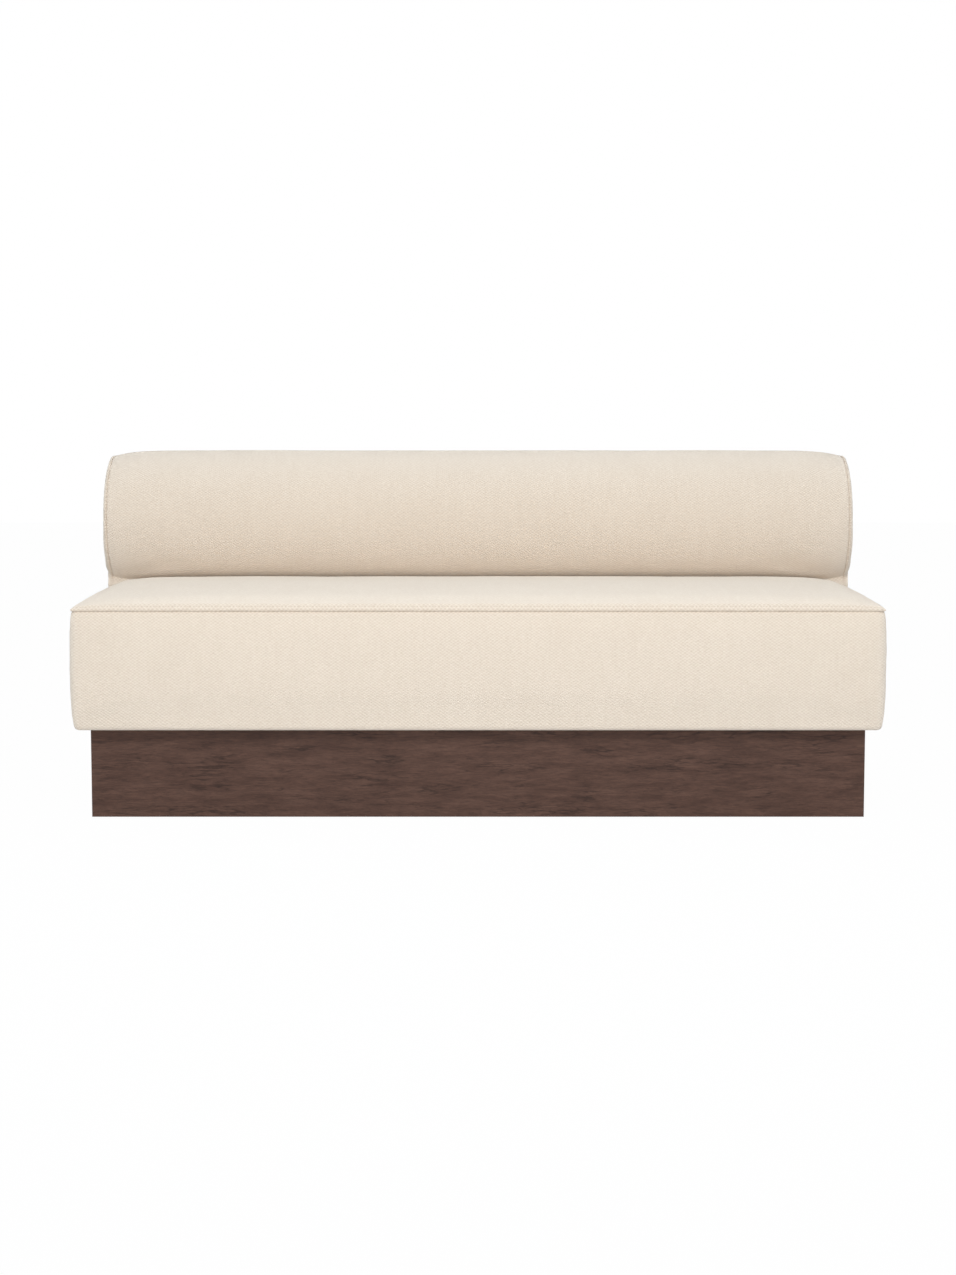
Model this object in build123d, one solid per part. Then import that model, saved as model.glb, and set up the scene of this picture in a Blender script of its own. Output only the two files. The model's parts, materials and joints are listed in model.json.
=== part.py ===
from build123d import *
import math
import os

os.makedirs("parts", exist_ok=True)

# Dining sofa in millimetres: X along the width, front face towards -Y, floor at Z zero.

# Overall form
seat_width = 1650
overall_depth = 700
plinth_height = 186
border_height = 243
crown_height = 39
crown_step = 0.6
crown_roll_run = 16
crown_roll_share = 0.37
crown_end_run = 220
crown_front_run = 260
back_rise = 311
seat_corner_radius = 16

# Back form: a round bolster on a narrower neck with a flat rear
back_end_setback = 5
bolster_lift = 11
bolster_overhang = 79
neck_depth = 188
rear_corner_radius = 70
end_swell = 8
swell_run = 80
end_puff = 16
puff_inset = 52

# Upholstery layers
cover_thickness = 1.5
skin_gap = 0.3
side_pad_thickness = 12
rear_pad_thickness = 8
hem_width = 64
topper_depth = 24
dust_cover_thickness = 0.8

# Plinth joinery
plinth_side_inset = 32
plinth_front_inset = 35
panel_thickness = 22
plinth_rail_thickness = 18
plinth_rail_height = 110
plinth_rail_count = 3
block_size = 62
plinth_block_height = 44
glide_radius = 9
glide_proud = 2
glide_pin_radius = 3
glide_pin_length = 14
pin_clearance = 0.2
foot_block_width = 44
foot_block_depth = 24
foot_block_height = 40

# Seat frame
rail_thickness = 22
rail_height = 130
frame_corner_round = 9
strut_count = 3
strut_thickness = 18
strut_dip = 34
strut_foot_rise = 10
seat_block_height = 48

# Webbing
strap_width = 62
strap_thickness = 1.6
strap_count = 11
cross_strap_count = 3
strap_end_lap = 16
weave_gap = 0.3

# Back frame
rib_thickness = 18
rib_count = 5
front_board_thickness = 9
rear_board_thickness = 4
neck_foam_thickness = 22
top_foam_thickness = 60
back_rail_width = 22
back_rail_depth = 45
bolster_rail_drop = 27
foot_rail_depth = 84
foot_rail_rise = 24
rib_foot_rise = 12
rib_hole_share = 0.32

# Fasteners, with the number of sides that small round parts are drawn with
round_sides = 12
bolt_radius = 4
bolt_clearance = 0.5
bolt_head_flats = 13
bolt_head_height = 5.3
bolt_flange_radius = 9
bolt_flange_thickness = 1.6
nut_flange_radius = 11
nut_flange_thickness = 1.5
nut_barrel_radius = 5.2
nut_barrel_length = 11
bolt_tail = 3

overrun = 5

# Derived planes
front_y = -overall_depth / 2
rear_y = overall_depth / 2
seat_half = seat_width / 2
back_half = seat_half - back_end_setback
seam_z = plinth_height + border_height
overall_height = seam_z + back_rise
frame_z = plinth_height + cover_thickness
frame_top_z = frame_z + rail_height
foam_z = frame_top_z + 3 * strap_thickness + 2 * weave_gap
pad_top_z = seam_z - topper_depth
layer = cover_thickness + skin_gap
frame_half = seat_half - layer - side_pad_thickness
frame_front_y = front_y + layer + side_pad_thickness
frame_rear_y = -frame_front_y
inner_half = frame_half - rail_thickness
back_frame_half = inner_half - skin_gap
bolster_radius = (back_rise - bolster_lift) / 2
bolster_z = overall_height - bolster_radius
neck_y = rear_y - neck_depth
bolster_y = neck_y - bolster_overhang + bolster_radius
board_y = neck_y + layer + neck_foam_thickness
rib_front_y = board_y + front_board_thickness
inner_rail_y = rib_front_y - rail_thickness
back_rear_y = rear_y - layer - rear_pad_thickness
rib_rear_y = back_rear_y - rear_board_thickness
rear_rail_y = frame_rear_y - rail_thickness
notch_z = bolster_z - math.sqrt(bolster_radius ** 2 - (bolster_y - neck_y) ** 2)
back_hem_z = seam_z + skin_gap

# Border of the seat from its foot to the seam: heights as shares, and how far it is drawn in
border_height_shares = (0, 0.014, 0.06, 0.3, 0.7, 1)
border_inset_shares = (1, 0.5, 0.1, -0.13, -0.16, 0)
border_foot_inset = 12

# Bolster ends: runs before the end seam and swell left there, then the puffed end panel
swell_run_shares = (1, 0.42, 0)
swell_left_shares = (0, 0.26, 1)
puff_out_shares = (0.62, 1)
puff_inset_shares = (0.2, 1)


def block(x_span, y_span, z_span):
    """Rectangular solid between two planes along each axis."""
    lengths = [high - low for low, high in (x_span, y_span, z_span)]
    middles = [(high + low) / 2 for low, high in (x_span, y_span, z_span)]
    return Pos(*middles) * Box(*lengths)


def rod_up(x, y, z_low, z_high, radius):
    """Small upright round solid from one height to another."""
    return Pos(x, y, z_low) * extrude(RegularPolygon(radius, round_sides), z_high - z_low)


def rod_back(x, z, y_low, y_high, radius):
    """Small round solid lying along Y from one depth to another."""
    return Pos(x, y_low, z) * Rot(-90, 0, 0) * rod_up(0, 0, 0, y_high - y_low, radius)


def spread(count, reach):
    """Evenly spaced places from -reach to reach."""
    return [reach * (2 * index / (count - 1) - 1) for index in range(count)]


def save(shape, name):
    """One STEP file for each named piece."""
    export_step(shape, f"parts/{name}.step")


def group(solids):
    """Separate solids that share one name."""
    return Compound(children=list(solids))


# Seat forms

def seat_outline(z, drawn_in):
    """Rounded rectangle of the seat seen from above, drawn in all round."""
    radius = max(seat_corner_radius - drawn_in, seat_corner_radius / 2)
    return Pos(0, 0, z) * RectangleRounded(seat_width - 2 * drawn_in, overall_depth - 2 * drawn_in, radius)


def seat_border_form(inset):
    """Seat from its foot to the seam, with sides that belly out and tuck in at the foot."""
    sections = []
    for height, drawn in zip(border_height_shares, border_inset_shares):
        z = plinth_height + inset + height * (border_height - inset)
        sections.append(seat_outline(z, inset + drawn * border_foot_inset))
    return loft(sections, ruled=True)


def crown_edge(edge, run, inset):
    """Crown across one edge, from left to right: a quick roll above the seam, then a long low arc."""
    top = seam_z + crown_height - inset
    foot = (edge + inset - crown_step, seam_z)
    rolled = (edge + inset + crown_roll_run, seam_z + crown_roll_share * (top - seam_z))
    roll_middle = (edge + inset + crown_roll_run / 4, seam_z + (rolled[1] - seam_z) * 2 / 3)
    crest = (edge + run, top)
    arc_middle = ((rolled[0] + crest[0]) / 2, top - (top - rolled[1]) / 4)
    return [ThreePointArc(foot, roll_middle, rolled), ThreePointArc(rolled, arc_middle, crest)]


def seat_crown_form(inset):
    """Puffed top of the seat, pressed down under the back."""
    end = crown_edge(-seat_half, crown_end_run, inset)
    other_end = [line.mirror(Plane.YZ) for line in end]
    across = Curve() + end + other_end + [
        Line(end[1] @ 1, other_end[1] @ 1),
        Line(end[0] @ 0, other_end[0] @ 0),
    ]
    front = crown_edge(front_y, crown_front_run, inset)
    foot, crest = front[0] @ 0, front[1] @ 1
    rear = rear_y + overrun
    along = Curve() + front + [
        Line(crest, (rear, crest.Y)),
        Line((rear, crest.Y), (rear, seam_z)),
        Line((rear, seam_z), foot),
    ]
    crown = extrude(make_face(Plane.XZ * across), overall_depth, both=True)
    crown &= extrude(make_face(Plane.YZ * along), seat_width, both=True)
    crown &= extrude(seat_outline(seam_z - overrun, inset), crown_height + 2 * overrun)
    pressed = back_section(-seat_width, -skin_gap - inset, seam_z - overrun)
    return crown - extrude(pressed, 2 * seat_width, dir=(1, 0, 0))


# Back forms

def back_section(x, inset, foot_z):
    """Section of the back: neck, round bolster, flat top, round rear corner, flat rear."""
    radius = bolster_radius - inset
    corner = rear_corner_radius - inset
    front = neck_y + inset
    rear = rear_y - inset
    top = bolster_z + radius
    half_neck = bolster_y - front
    low = bolster_z - math.sqrt(radius ** 2 - half_neck ** 2)
    diagonal = corner * (1 - math.sqrt(0.5))
    outline = Curve() + [
        Line((front, foot_z), (front, low)),
        ThreePointArc((front, low), (bolster_y - radius, bolster_z), (bolster_y, top)),
        Line((bolster_y, top), (rear - corner, top)),
        ThreePointArc((rear - corner, top), (rear - diagonal, top - diagonal), (rear, top - corner)),
        Line((rear, top - corner), (rear, foot_z)),
        Line((rear, foot_z), (front, foot_z)),
    ]
    return make_face(Plane.YZ.offset(x) * outline)


def back_form(inset, foot_z):
    """Whole back: straight in the middle, drawn in at each end seam, with puffed ends."""
    stations = []
    for run, left in zip(swell_run_shares, swell_left_shares):
        stations.append((back_half - run * swell_run, inset + left * end_swell))
    for out, drawn in zip(puff_out_shares, puff_inset_shares):
        drawn_in = inset + end_swell + drawn * puff_inset
        stations.append((back_half - inset + out * end_puff, drawn_in))
    ends = [(-x, drawn_in) for x, drawn_in in reversed(stations)]
    return loft([back_section(x, drawn_in, foot_z) for x, drawn_in in ends + stations], ruled=True)


# Plinth

plinth_half = seat_half - plinth_side_inset
plinth_front_y = front_y + plinth_front_inset
plinth_rear_y = -plinth_front_y
panel_span = (glide_proud, plinth_height)
corner_fixing_x = plinth_half - panel_thickness - block_size / 2
middle_fixing_x = (plinth_rail_thickness + block_size) / 2
fixing_y = plinth_rear_y - panel_thickness - block_size / 2
fixing_places = [(x, y) for x in (-corner_fixing_x, middle_fixing_x, corner_fixing_x)
                 for y in (-fixing_y, fixing_y)]


def mitred_panel(half_length, place, turn):
    """Board on edge whose ends are cut at 45 degrees on the inside."""
    outline = make_face(Polyline(
        (-half_length, 0), (half_length, 0),
        (half_length - panel_thickness, panel_thickness),
        (-half_length + panel_thickness, panel_thickness), close=True))
    board = extrude(outline, panel_span[1] - panel_span[0])
    return Pos(*place, panel_span[0]) * Rot(0, 0, turn) * board


save(mitred_panel(plinth_half, (0, plinth_front_y), 0), "plinth_front_panel")
save(mitred_panel(plinth_half, (0, plinth_rear_y), 180), "plinth_rear_panel")
save(mitred_panel(plinth_rear_y, (-plinth_half, 0), -90), "plinth_left_panel")
save(mitred_panel(plinth_rear_y, (plinth_half, 0), 90), "plinth_right_panel")

plinth_inner_y = plinth_rear_y - panel_thickness
plinth_rails = [block(
    (x - plinth_rail_thickness / 2, x + plinth_rail_thickness / 2),
    (-plinth_inner_y, plinth_inner_y),
    (plinth_height - plinth_rail_height, plinth_height))
    for x in spread(plinth_rail_count, plinth_half / 2)]
save(group(plinth_rails), "plinth_cross_rails")

plinth_blocks = []
for x, y in fixing_places:
    piece = block((x - block_size / 2, x + block_size / 2), (y - block_size / 2, y + block_size / 2),
                  (plinth_height - plinth_block_height, plinth_height))
    piece -= rod_up(x, y, 0, plinth_height + overrun, bolt_radius + bolt_clearance)
    plinth_blocks.append(piece)
save(group(plinth_blocks), "plinth_fixing_blocks")

plinth_inner_x = plinth_half - panel_thickness
corner_foot_x = plinth_inner_x - foot_block_width / 2
end_foot_x = plinth_inner_x - foot_block_depth / 2
foot_y = plinth_inner_y - foot_block_depth / 2
long_feet = [(x, y) for x in (-corner_foot_x, 0, corner_foot_x) for y in (-foot_y, foot_y)]
end_feet = [(-end_foot_x, 0), (end_foot_x, 0)]


def foot_block(x, y, x_length, y_length):
    """Block glued behind a panel's lower edge, with a hole for the glide's pin."""
    piece = block((x - x_length / 2, x + x_length / 2), (y - y_length / 2, y + y_length / 2),
                  (glide_proud, glide_proud + foot_block_height))
    hole_top = glide_proud + glide_pin_length + pin_clearance
    return piece - rod_up(x, y, 0, hole_top, glide_pin_radius + pin_clearance)


foot_blocks = [foot_block(x, y, foot_block_width, foot_block_depth) for x, y in long_feet]
foot_blocks += [foot_block(x, y, foot_block_depth, foot_block_width) for x, y in end_feet]
save(group(foot_blocks), "plinth_foot_blocks")

glides = []
for x, y in long_feet + end_feet:
    foot = rod_up(x, y, 0, glide_proud, glide_radius)
    pin = rod_up(x, y, glide_proud, glide_proud + glide_pin_length, glide_pin_radius)
    glides.append(foot + pin)
save(group(glides), "floor_glides")


# Seat frame

rail_span = (frame_z, frame_top_z)
side_y_span = (frame_front_y + rail_thickness, rear_rail_y)
rib_places = spread(rib_count, back_frame_half - rib_thickness / 2)
foot_rail_z = frame_z + foot_rail_rise
back_bolt_places = [((left + right) / 2, foot_rail_z + foot_rail_depth / 2)
                    for left, right in zip(rib_places, rib_places[1:])]

front_rail = block((-frame_half, frame_half), (frame_front_y, frame_front_y + rail_thickness), rail_span)
rear_rail = block((-frame_half, frame_half), (rear_rail_y, frame_rear_y), rail_span)
for x, z in back_bolt_places:
    rear_rail -= rod_back(x, z, rear_rail_y - overrun, frame_rear_y + overrun,
                          nut_barrel_radius + pin_clearance)
    rear_rail -= rod_back(x, z, frame_rear_y - nut_flange_thickness, frame_rear_y + overrun,
                          nut_flange_radius + pin_clearance)
front_corners = front_rail.edges().filter_by(Axis.Z).group_by(Axis.Y)[0]
rear_corners = rear_rail.edges().filter_by(Axis.Z).group_by(Axis.Y)[-1]
save(fillet(front_corners, frame_corner_round), "seat_front_rail")
save(fillet(rear_corners, frame_corner_round), "seat_rear_rail")
save(block((-frame_half, -inner_half), side_y_span, rail_span), "seat_left_rail")
save(block((inner_half, frame_half), side_y_span, rail_span), "seat_right_rail")
save(block((-inner_half, inner_half), (inner_rail_y, rib_front_y), rail_span), "seat_inner_rail")


def strut(x):
    """Board between front and inner rails, dipped on top so the webbing can sink."""
    front = frame_front_y + rail_thickness
    middle = (front + inner_rail_y) / 2
    low = frame_z + strut_foot_rise
    outline = Curve() + [
        Line((front, low), (front, frame_top_z - strut_dip / 3)),
        ThreePointArc((front, frame_top_z - strut_dip / 3), (middle, frame_top_z - strut_dip),
                      (inner_rail_y, frame_top_z - strut_dip / 3)),
        Line((inner_rail_y, frame_top_z - strut_dip / 3), (inner_rail_y, low)),
        Line((inner_rail_y, low), (front, low)),
    ]
    face = make_face(Plane.YZ.offset(x - strut_thickness / 2) * outline)
    return extrude(face, strut_thickness)


save(group(strut(x) for x in spread(strut_count, plinth_half / 2)), "seat_cross_struts")

seat_blocks = []
seat_block_top = frame_z + seat_block_height
for x, y in fixing_places:
    if y < 0:
        end_x = inner_half
        y_span = (frame_front_y + rail_thickness, y + block_size / 2)
    else:
        end_x = back_frame_half - rib_thickness
        y_span = (y - block_size / 2, rear_rail_y - back_rail_width)
    low_x = -end_x if x < 0 else x - block_size / 2
    high_x = end_x if x > block_size else x + block_size / 2
    piece = block((low_x, high_x), y_span, (frame_z, seat_block_top))
    piece -= rod_up(x, y, 0, seat_block_top + overrun, nut_barrel_radius + pin_clearance)
    piece -= rod_up(x, y, seat_block_top - nut_flange_thickness, seat_block_top + overrun,
                    nut_flange_radius + pin_clearance)
    seat_blocks.append(piece)
save(group(seat_blocks), "seat_fixing_blocks")


# Webbing

web_z = frame_top_z + strap_thickness + weave_gap
strap_places = spread(strap_count, inner_half - strap_width)
web_front_y = frame_front_y + rail_thickness - strap_end_lap
web_rear_y = inner_rail_y + strap_end_lap
long_straps = []
for x in strap_places:
    end_x = (x - strap_width / 2, x + strap_width / 2)
    middle = block(end_x, (web_front_y, web_rear_y), (web_z, web_z + strap_thickness))
    feet = [block(end_x, span, (frame_top_z, web_z)) for span in (
        (web_front_y, web_front_y + strap_end_lap), (web_rear_y - strap_end_lap, web_rear_y))]
    long_straps.append(middle + feet)
save(group(long_straps), "webbing_front_to_back")


def woven_strap(y, starts_over):
    """Strap across the width that passes over and under the others in turn."""
    step = strap_thickness + weave_gap
    half = strap_width / 2 + strap_end_lap / 2
    end = inner_half + strap_end_lap
    line = [(-end, frame_top_z), (-inner_half, frame_top_z)]
    over = starts_over
    for x in strap_places:
        z = web_z + step if over else web_z - step
        line += [(x - half, z), (x + half, z)]
        over = not over
    line += [(inner_half, frame_top_z), (end, frame_top_z)]
    upper = [(x, z + strap_thickness) for x, z in reversed(line)]
    side = make_face(Plane.XZ.offset(-y - strap_width / 2) * Polyline(*line, *upper, close=True))
    return extrude(side, strap_width)


web_middle_y = (web_front_y + web_rear_y) / 2
web_reach = (web_rear_y - web_front_y) / 2 - 2 * strap_width
cross_straps = [woven_strap(web_middle_y + y, index % 2 == 0)
                for index, y in enumerate(spread(cross_strap_count, web_reach))]
save(group(cross_straps), "webbing_side_to_side")


# Seat foam

foam_border = seat_border_form(layer)
foam_crown = seat_crown_form(layer)
far_x = seat_half + overrun
far_y = rear_y + overrun
pad_span = (frame_z, pad_top_z)
save(foam_border & block((-far_x, far_x), (-far_y, frame_front_y), pad_span), "seat_front_pad")
save(foam_border & block((-far_x, far_x), (frame_rear_y, far_y), pad_span), "seat_rear_pad")
save(foam_border & block((-far_x, -frame_half), (frame_front_y, frame_rear_y), pad_span), "seat_left_pad")
save(foam_border & block((frame_half, far_x), (frame_front_y, frame_rear_y), pad_span), "seat_right_pad")
save(block((-frame_half, frame_half), (frame_front_y, board_y - skin_gap), (foam_z, pad_top_z)),
     "seat_foam_core")

topper_rear_y = neck_y - skin_gap - layer
topper = foam_border & block((-far_x, far_x), (-far_y, topper_rear_y), (pad_top_z, seam_z))
save(topper + foam_crown, "seat_topper")


# Seat cover

hem_x = seat_half - hem_width
hem_y = rear_y - hem_width
border_shell = seat_border_form(0) - seat_border_form(cover_thickness)
border_shell -= block((-hem_x, hem_x), (-hem_y, hem_y), (0, frame_z))
save(border_shell, "seat_border_cover")

save(seat_crown_form(0) - seat_crown_form(cover_thickness), "seat_top_cover")

dust_z = (frame_z - dust_cover_thickness, frame_z)
dust_cover = block((skin_gap - hem_x, hem_x - skin_gap), (skin_gap - hem_y, hem_y - skin_gap), dust_z)
for x, y in fixing_places:
    dust_cover -= rod_up(x, y, 0, frame_z + overrun, nut_barrel_radius + pin_clearance)
save(dust_cover, "dust_cover")


# Back frame

foot_rail_y = rear_rail_y - back_rail_width
back_frame_top = overall_height - top_foam_thickness
rib_top_z = back_frame_top - rib_thickness
bolster_rail_top = rib_top_z - bolster_rail_drop
bolster_rail_z = (bolster_rail_top - back_rail_depth, bolster_rail_top)
neck_rail_z = (notch_z - back_rail_depth, notch_z)
rib_hole_room = (neck_rail_z[1], bolster_rail_z[0])
front_rail_y = (rib_front_y, rib_front_y + back_rail_width)
rear_rail_span = (rib_rear_y - back_rail_width, rib_rear_y)


def rib(x):
    """Upright board with a narrow foot between the seat rails, notched for the long rails."""
    x_span = (x - rib_thickness / 2, x + rib_thickness / 2)
    cut_x = (x_span[0] - overrun, x_span[1] + overrun)
    board = block(x_span, (rib_front_y + skin_gap, rear_rail_y - skin_gap),
                  (frame_z + rib_foot_rise, frame_top_z + skin_gap))
    board += block(x_span, (rib_front_y, rib_rear_y), (frame_top_z + skin_gap, rib_top_z))
    board -= block(cut_x, (foot_rail_y - skin_gap, rear_y),
                   (0, foot_rail_z + foot_rail_depth + skin_gap))
    for z_low, z_high in (bolster_rail_z, neck_rail_z):
        board -= block(cut_x, (0, front_rail_y[1]), (z_low, z_high))
    board -= block(cut_x, (rear_rail_span[0], rear_y), bolster_rail_z)
    hole_y = (rib_front_y + rib_rear_y) / 2
    hole_radius = rib_hole_share * (rib_hole_room[1] - rib_hole_room[0])
    hole = Rot(0, 90, 0) * Cylinder(hole_radius, 2 * rib_thickness)
    return board - Pos(x, hole_y, sum(rib_hole_room) / 2) * hole


save(group(rib(x) for x in rib_places), "back_ribs")

long_span = (-back_frame_half, back_frame_half)
save(block(long_span, front_rail_y, bolster_rail_z), "back_bolster_rail")
save(block(long_span, rear_rail_span, bolster_rail_z), "back_rear_rail")
save(block(long_span, front_rail_y, neck_rail_z), "back_neck_rail")
save(block(long_span, (board_y, back_rear_y), (rib_top_z, back_frame_top)), "back_top_board")
save(block(long_span, (board_y, rib_front_y), (foam_z, rib_top_z)), "back_front_board")
save(block(long_span, (rib_rear_y, back_rear_y), (pad_top_z, rib_top_z)), "back_rear_board")

foot_rail = block((-inner_half + skin_gap, inner_half - skin_gap), (foot_rail_y, rear_rail_y),
                  (foot_rail_z, foot_rail_z + foot_rail_depth))
for x, z in back_bolt_places:
    foot_rail -= rod_back(x, z, foot_rail_y - overrun, rear_rail_y + overrun,
                          bolt_radius + bolt_clearance)
save(foot_rail, "back_foot_rail")


# Back foam

back_foam = back_form(layer, pad_top_z)
end_foam = back_form(layer, back_hem_z)
between = (-back_frame_half, back_frame_half)
lower_z = (0, notch_z)
upper_z = (notch_z, overall_height)
save(back_foam & block(between, (front_y, board_y), upper_z), "bolster_foam")
save(back_foam & block(between, (front_y, board_y), lower_z), "neck_foam")
save(back_foam & block(between, (board_y, rear_y), (back_frame_top, overall_height)), "back_top_foam")
save(back_foam & block(between, (back_rear_y, rear_y), (0, back_frame_top)), "back_rear_foam")
far_back_x = back_half + end_puff + overrun
end_pads = []
for side in (-1, 1):
    spans = [sorted((side * back_frame_half, side * x))
             for x in (far_back_x, seat_half - layer, frame_half)]
    pad = end_foam & block(spans[0], (front_y, rear_y), (0, overall_height))
    pad += block(spans[1], (neck_y + layer, frame_rear_y), (pad_top_z, back_hem_z))
    pad += block(spans[2], (board_y, frame_rear_y), (frame_top_z, pad_top_z))
    end_pads.append(pad)
save(group(end_pads), "back_end_foams")


# Back cover

back_shell = back_form(0, back_hem_z) - back_form(cover_thickness, back_hem_z - overrun)
shell_top = (0, overall_height + overrun)
save(back_shell & block((-back_half, back_half), (front_y, far_y), shell_top), "back_cover")
end_panels = [back_shell & block(span, (front_y, far_y), shell_top)
              for span in ((-far_back_x, -back_half), (back_half, far_back_x))]
save(group(end_panels), "back_end_covers")


# Fasteners

def hex_head():
    """Bolt head standing on the XY plane."""
    return extrude(RegularPolygon(bolt_head_flats / 2, 6, major_radius=False), bolt_head_height)


def bolt(length):
    """Flanged hexagon bolt pointing up, its flange and head below the XY plane."""
    solid = Pos(0, 0, -bolt_flange_thickness - bolt_head_height) * hex_head()
    solid += rod_up(0, 0, -bolt_flange_thickness, 0, bolt_flange_radius)
    return solid + rod_up(0, 0, 0, length, bolt_radius)


def tee_nut():
    """Nut with its flange below the XY plane's top and its barrel pointing down."""
    solid = rod_up(0, 0, -nut_flange_thickness, 0, nut_flange_radius)
    solid += rod_up(0, 0, -nut_barrel_length, 0, nut_barrel_radius)
    return solid - rod_up(0, 0, -nut_barrel_length - overrun, overrun, bolt_radius + pin_clearance)


flange_z = plinth_height - plinth_block_height
up_length = seat_block_top + bolt_tail - flange_z
save(group(Pos(x, y, flange_z) * bolt(up_length) for x, y in fixing_places), "plinth_bolts")
save(group(Pos(x, y, seat_block_top) * tee_nut() for x, y in fixing_places), "seat_tee_nuts")

back_length = frame_rear_y - foot_rail_y
to_rear = Rot(-90, 0, 0)
save(group(Pos(x, foot_rail_y, z) * to_rear * bolt(back_length) for x, z in back_bolt_places), "back_bolts")
save(group(Pos(x, frame_rear_y, z) * to_rear * tee_nut() for x, z in back_bolt_places), "back_tee_nuts")
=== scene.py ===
import json
import math

import bmesh
import bpy
import numpy as np
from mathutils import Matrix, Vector, noise
from mathutils.bvhtree import BVHTree
from mathutils.kdtree import KDTree


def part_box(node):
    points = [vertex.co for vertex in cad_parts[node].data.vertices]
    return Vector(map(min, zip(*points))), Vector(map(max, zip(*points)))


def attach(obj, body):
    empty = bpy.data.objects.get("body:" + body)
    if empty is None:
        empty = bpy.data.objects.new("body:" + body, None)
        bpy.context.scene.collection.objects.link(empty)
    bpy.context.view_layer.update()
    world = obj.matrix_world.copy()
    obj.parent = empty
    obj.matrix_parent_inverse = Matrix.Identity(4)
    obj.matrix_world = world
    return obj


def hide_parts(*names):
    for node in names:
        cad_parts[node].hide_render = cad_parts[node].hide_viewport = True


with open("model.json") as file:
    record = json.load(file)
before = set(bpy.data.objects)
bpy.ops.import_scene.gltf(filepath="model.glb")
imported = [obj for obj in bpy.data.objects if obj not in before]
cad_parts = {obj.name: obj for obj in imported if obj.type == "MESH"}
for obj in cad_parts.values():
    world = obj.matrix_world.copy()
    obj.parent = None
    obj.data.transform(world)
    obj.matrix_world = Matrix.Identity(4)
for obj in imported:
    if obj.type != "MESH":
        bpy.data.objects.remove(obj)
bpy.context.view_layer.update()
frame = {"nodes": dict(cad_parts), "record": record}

MM = 0.001
WELD = 2e-6  # metres within which points of a piece become one
FAR_FROM_SEAM = 50.0

# Sizes in millimetres, in the frame's own axes
HALF_WIDTH = 825
HALF_DEPTH = 350
SEAM_Z = 428.2
BACK_HALF = 820
BOLSTER_Y = 233
BOLSTER_Z = 590
BOLSTER_R = 150
REAR_R = 70
NOTCH_Y = 168
SPINE_Y = 250
SPINE_Z = (474, 600)


# Camera and light

LENS = 64.48
CAMERA_PLACE = (0, -4.95, 0.835)
CAMERA_TILT = 5.70  # degrees below level
DAYLIGHT = (0.95, 1.0, 1.06)
WORLD_STRENGTH = 0.42
FLOOR_TONE = 0.80
FLOOR_GLOW = 0.985  # share of plain white in what the camera sees of the floor
FLOOR_REACH = 12
# Name, place, target, size in metres and power in watts
LAMPS = [
    ("softbox_above", (0, -3.0, 4.4), (0, 0, 0.35), (4.0, 2.4), 32),
    ("softbox_level", (0, -6.2, 0.85), (0, 0, 0.5), (5.0, 1.6), 62),
    ("strip_front", (0, -2.1, 1.75), (0, -0.35, 0.25), (4.0, 0.5), 28),
]


def add_camera():
    data = bpy.data.cameras.new("camera")
    data.lens = LENS
    data.sensor_width = 36
    camera = bpy.data.objects.new("camera", data)
    camera.location = CAMERA_PLACE
    camera.rotation_euler = (math.radians(90 - CAMERA_TILT), 0, 0)
    bpy.context.scene.collection.objects.link(camera)
    bpy.context.scene.camera = camera


def add_area(name, place, target, size, power):
    data = bpy.data.lights.new(name, "AREA")
    data.shape = "RECTANGLE"
    data.size, data.size_y = size
    data.energy = power
    data.color = DAYLIGHT
    lamp = bpy.data.objects.new(name, data)
    lamp.location = place
    lamp.rotation_euler = (Vector(target) - Vector(place)).to_track_quat("-Z", "Y").to_euler()
    bpy.context.scene.collection.objects.link(lamp)


def empty_tree(owner):
    """Nodes and links of a world or a material, with nothing in them yet."""
    owner.use_nodes = True
    owner.node_tree.nodes.clear()
    return owner.node_tree.nodes, owner.node_tree.links


def backdrop_rays(nodes, links):
    """1 where the ray comes from the camera, a reflection or a glass, else 0."""
    path = nodes.new("ShaderNodeLightPath")
    value = path.outputs["Is Camera Ray"]
    for name in ("Is Glossy Ray", "Is Transmission Ray"):
        largest = nodes.new("ShaderNodeMath")
        largest.operation = "MAXIMUM"
        links.new(value, largest.inputs[0])
        links.new(path.outputs[name], largest.inputs[1])
        value = largest.outputs[0]
    return value


def mix_to_output(nodes, links, share, first, second, output):
    """Mix two shaders by a share and send the result to a new output node."""
    mix = nodes.new("ShaderNodeMixShader")
    for socket, source in zip(mix.inputs, (share, first, second)):
        links.new(source, socket)
    links.new(mix.outputs[0], nodes.new(output).inputs[0])


def make_world():
    """Soft daylight all round, and plain white for the camera."""
    world = bpy.data.worlds.new("studio")
    nodes, links = empty_tree(world)
    light = nodes.new("ShaderNodeBackground")
    light.inputs["Color"].default_value = (*DAYLIGHT, 1)
    light.inputs["Strength"].default_value = WORLD_STRENGTH
    white = nodes.new("ShaderNodeBackground")
    white.inputs["Color"].default_value = (1, 1, 1, 1)
    white.inputs["Strength"].default_value = 1
    mix_to_output(nodes, links, backdrop_rays(nodes, links), light.outputs[0], white.outputs[0],
                  "ShaderNodeOutputWorld")
    bpy.context.scene.world = world


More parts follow.
